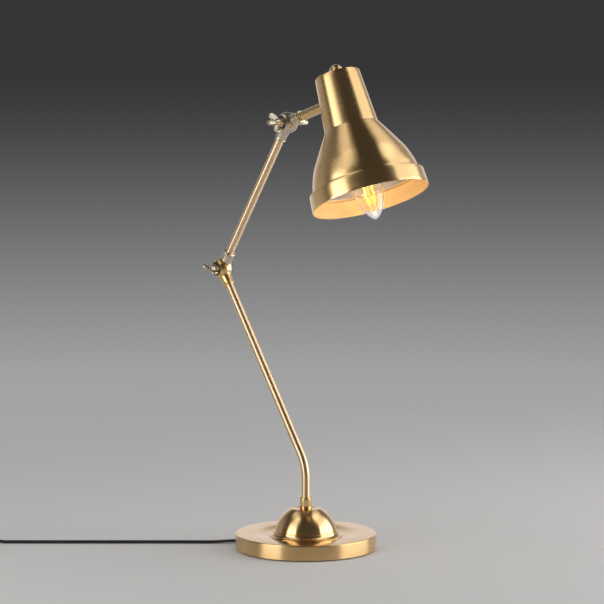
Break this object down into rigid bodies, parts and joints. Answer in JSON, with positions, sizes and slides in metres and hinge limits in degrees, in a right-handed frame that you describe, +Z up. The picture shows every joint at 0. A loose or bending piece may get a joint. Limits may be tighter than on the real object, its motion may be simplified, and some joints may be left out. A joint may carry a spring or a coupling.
{
  "type": "swing arm desk lamp",
  "caption": "Desk lamp with a round weighted base, a bent lower arm, a jointed upper arm clamped by wing nuts and a bell-shaped shade over a candle bulb.",
  "frame": {"origin": "middle of the felt pad's underside, where the base rests on the table", "axes": "+Z up; the arms swing in the XZ plane with the shade towards +X; the wing nuts are on the -Y side"},
  "size_m": [0.5286, 0.4723, 0.5638],
  "materials": {
    "brass_base": "antique brass, turned with fine rings, satin lacquer",
    "brass_tube": "antique brass, lengthwise polished, satin lacquer",
    "brass_shade": "antique brass, spun with fine rings, satin lacquer",
    "cast_brass": "cast brass, polished, darker in the hollows",
    "pale_cast_brass": "aged cast brass, greyed",
    "dark_brass": "blackened brass",
    "steel": "zinc-plated steel",
    "cast_iron": "rough casting",
    "felt": "pressed black felt",
    "black_plastic": "moulded, fine matte grain",
    "flex": "smooth black flex jacket",
    "contact_brass": "bright pressed brass",
    "bulb_glass": "clear lamp glass",
    "bulb_cap": "nickel plate",
    "filament": "glowing warm filament"
  },
  "bodies": {
    "base": {"base_dome": "brass_base", "base_lock_nut": "steel", "base_nipple": "steel", "base_shell": "brass_base", "base_washer": "steel", "base_weight": "cast_iron", "bottom_cover": "steel", "clamp_screw_1": "steel", "clamp_screw_2": "steel", "cord_clamp": "black_plastic", "cord_coil": "flex", "cord_grommet": "black_plastic", "cord_plug_tail": "flex", "cord_run": "flex", "cord_tail": "flex", "elbow_bolt": "steel", "elbow_friction_washer": "black_plastic", "elbow_front_washer": "dark_brass", "elbow_lower_fitting": "cast_brass", "elbow_rear_washer": "dark_brass", "felt_pad": "felt", "lower_arm_lead": "flex", "lower_arm_tube": "brass_tube", "plug_body": "black_plastic", "plug_pin_1": "bulb_cap", "plug_pin_2": "bulb_cap", "stem_collar": "brass_base", "switch_lower_shell": "black_plastic", "switch_screw_1": "steel", "switch_screw_2": "steel", "switch_upper_shell": "black_plastic"},
    "upper_arm": {"elbow_upper_fitting": "pale_cast_brass", "upper_arm_tube": "brass_tube", "upper_arm_lead": "flex", "head_lower_fitting": "pale_cast_brass", "head_bolt": "steel", "head_front_washer": "dark_brass", "head_rear_washer": "dark_brass", "head_friction_washer": "black_plastic"},
    "head": {"head_upper_fitting": "pale_cast_brass", "head_stem": "brass_tube", "stem_lock_nut": "steel", "head_lead": "flex", "shade": "brass_shade", "finial_nut": "brass_shade", "holder_nipple": "steel", "nipple_jam_nut": "steel", "holder_cap": "black_plastic", "holder_body": "black_plastic", "holder_screw_shell": "contact_brass", "holder_contact": "contact_brass", "bulb_glass": "bulb_glass", "bulb_cap": "bulb_cap", "bulb_insulator": "black_plastic", "bulb_contact": "bulb_cap", "bulb_mount": "bulb_glass", "bulb_filaments": "filament"},
    "elbow_nut": {"elbow_wing_nut": "pale_cast_brass"},
    "head_nut": {"head_wing_nut": "pale_cast_brass"},
    "rocker": {"switch_rocker": "black_plastic"}
  },
  "joints": [
    {"name": "elbow", "type": "hinge", "parent": "base", "child": "upper_arm", "pos_m": [-0.14814, 0, 0.32082], "axis": [0, -1, 0], "range_deg": [-35, 60]},
    {"name": "head_tilt", "type": "hinge", "parent": "upper_arm", "child": "head", "pos_m": [-0.03141, 0, 0.49718], "axis": [0, -1, 0], "range_deg": [-45, 75]},
    {"name": "elbow_nut_turn", "type": "hinge", "parent": "base", "child": "elbow_nut", "pos_m": [-0.14814, 0, 0.32082], "axis": [0, -1, 0], "range_deg": [-20, 180]},
    {"name": "head_nut_turn", "type": "hinge", "parent": "upper_arm", "child": "head_nut", "pos_m": [-0.03141, 0, 0.49718], "axis": [0, -1, 0], "range_deg": [-20, 180]},
    {"name": "switch_rock", "type": "hinge", "parent": "base", "child": "rocker", "pos_m": [-0.29659, -0.27993, 0.0104], "axis": [0.7314, -0.682, 0], "range_deg": [0, 16]}
  ]
}
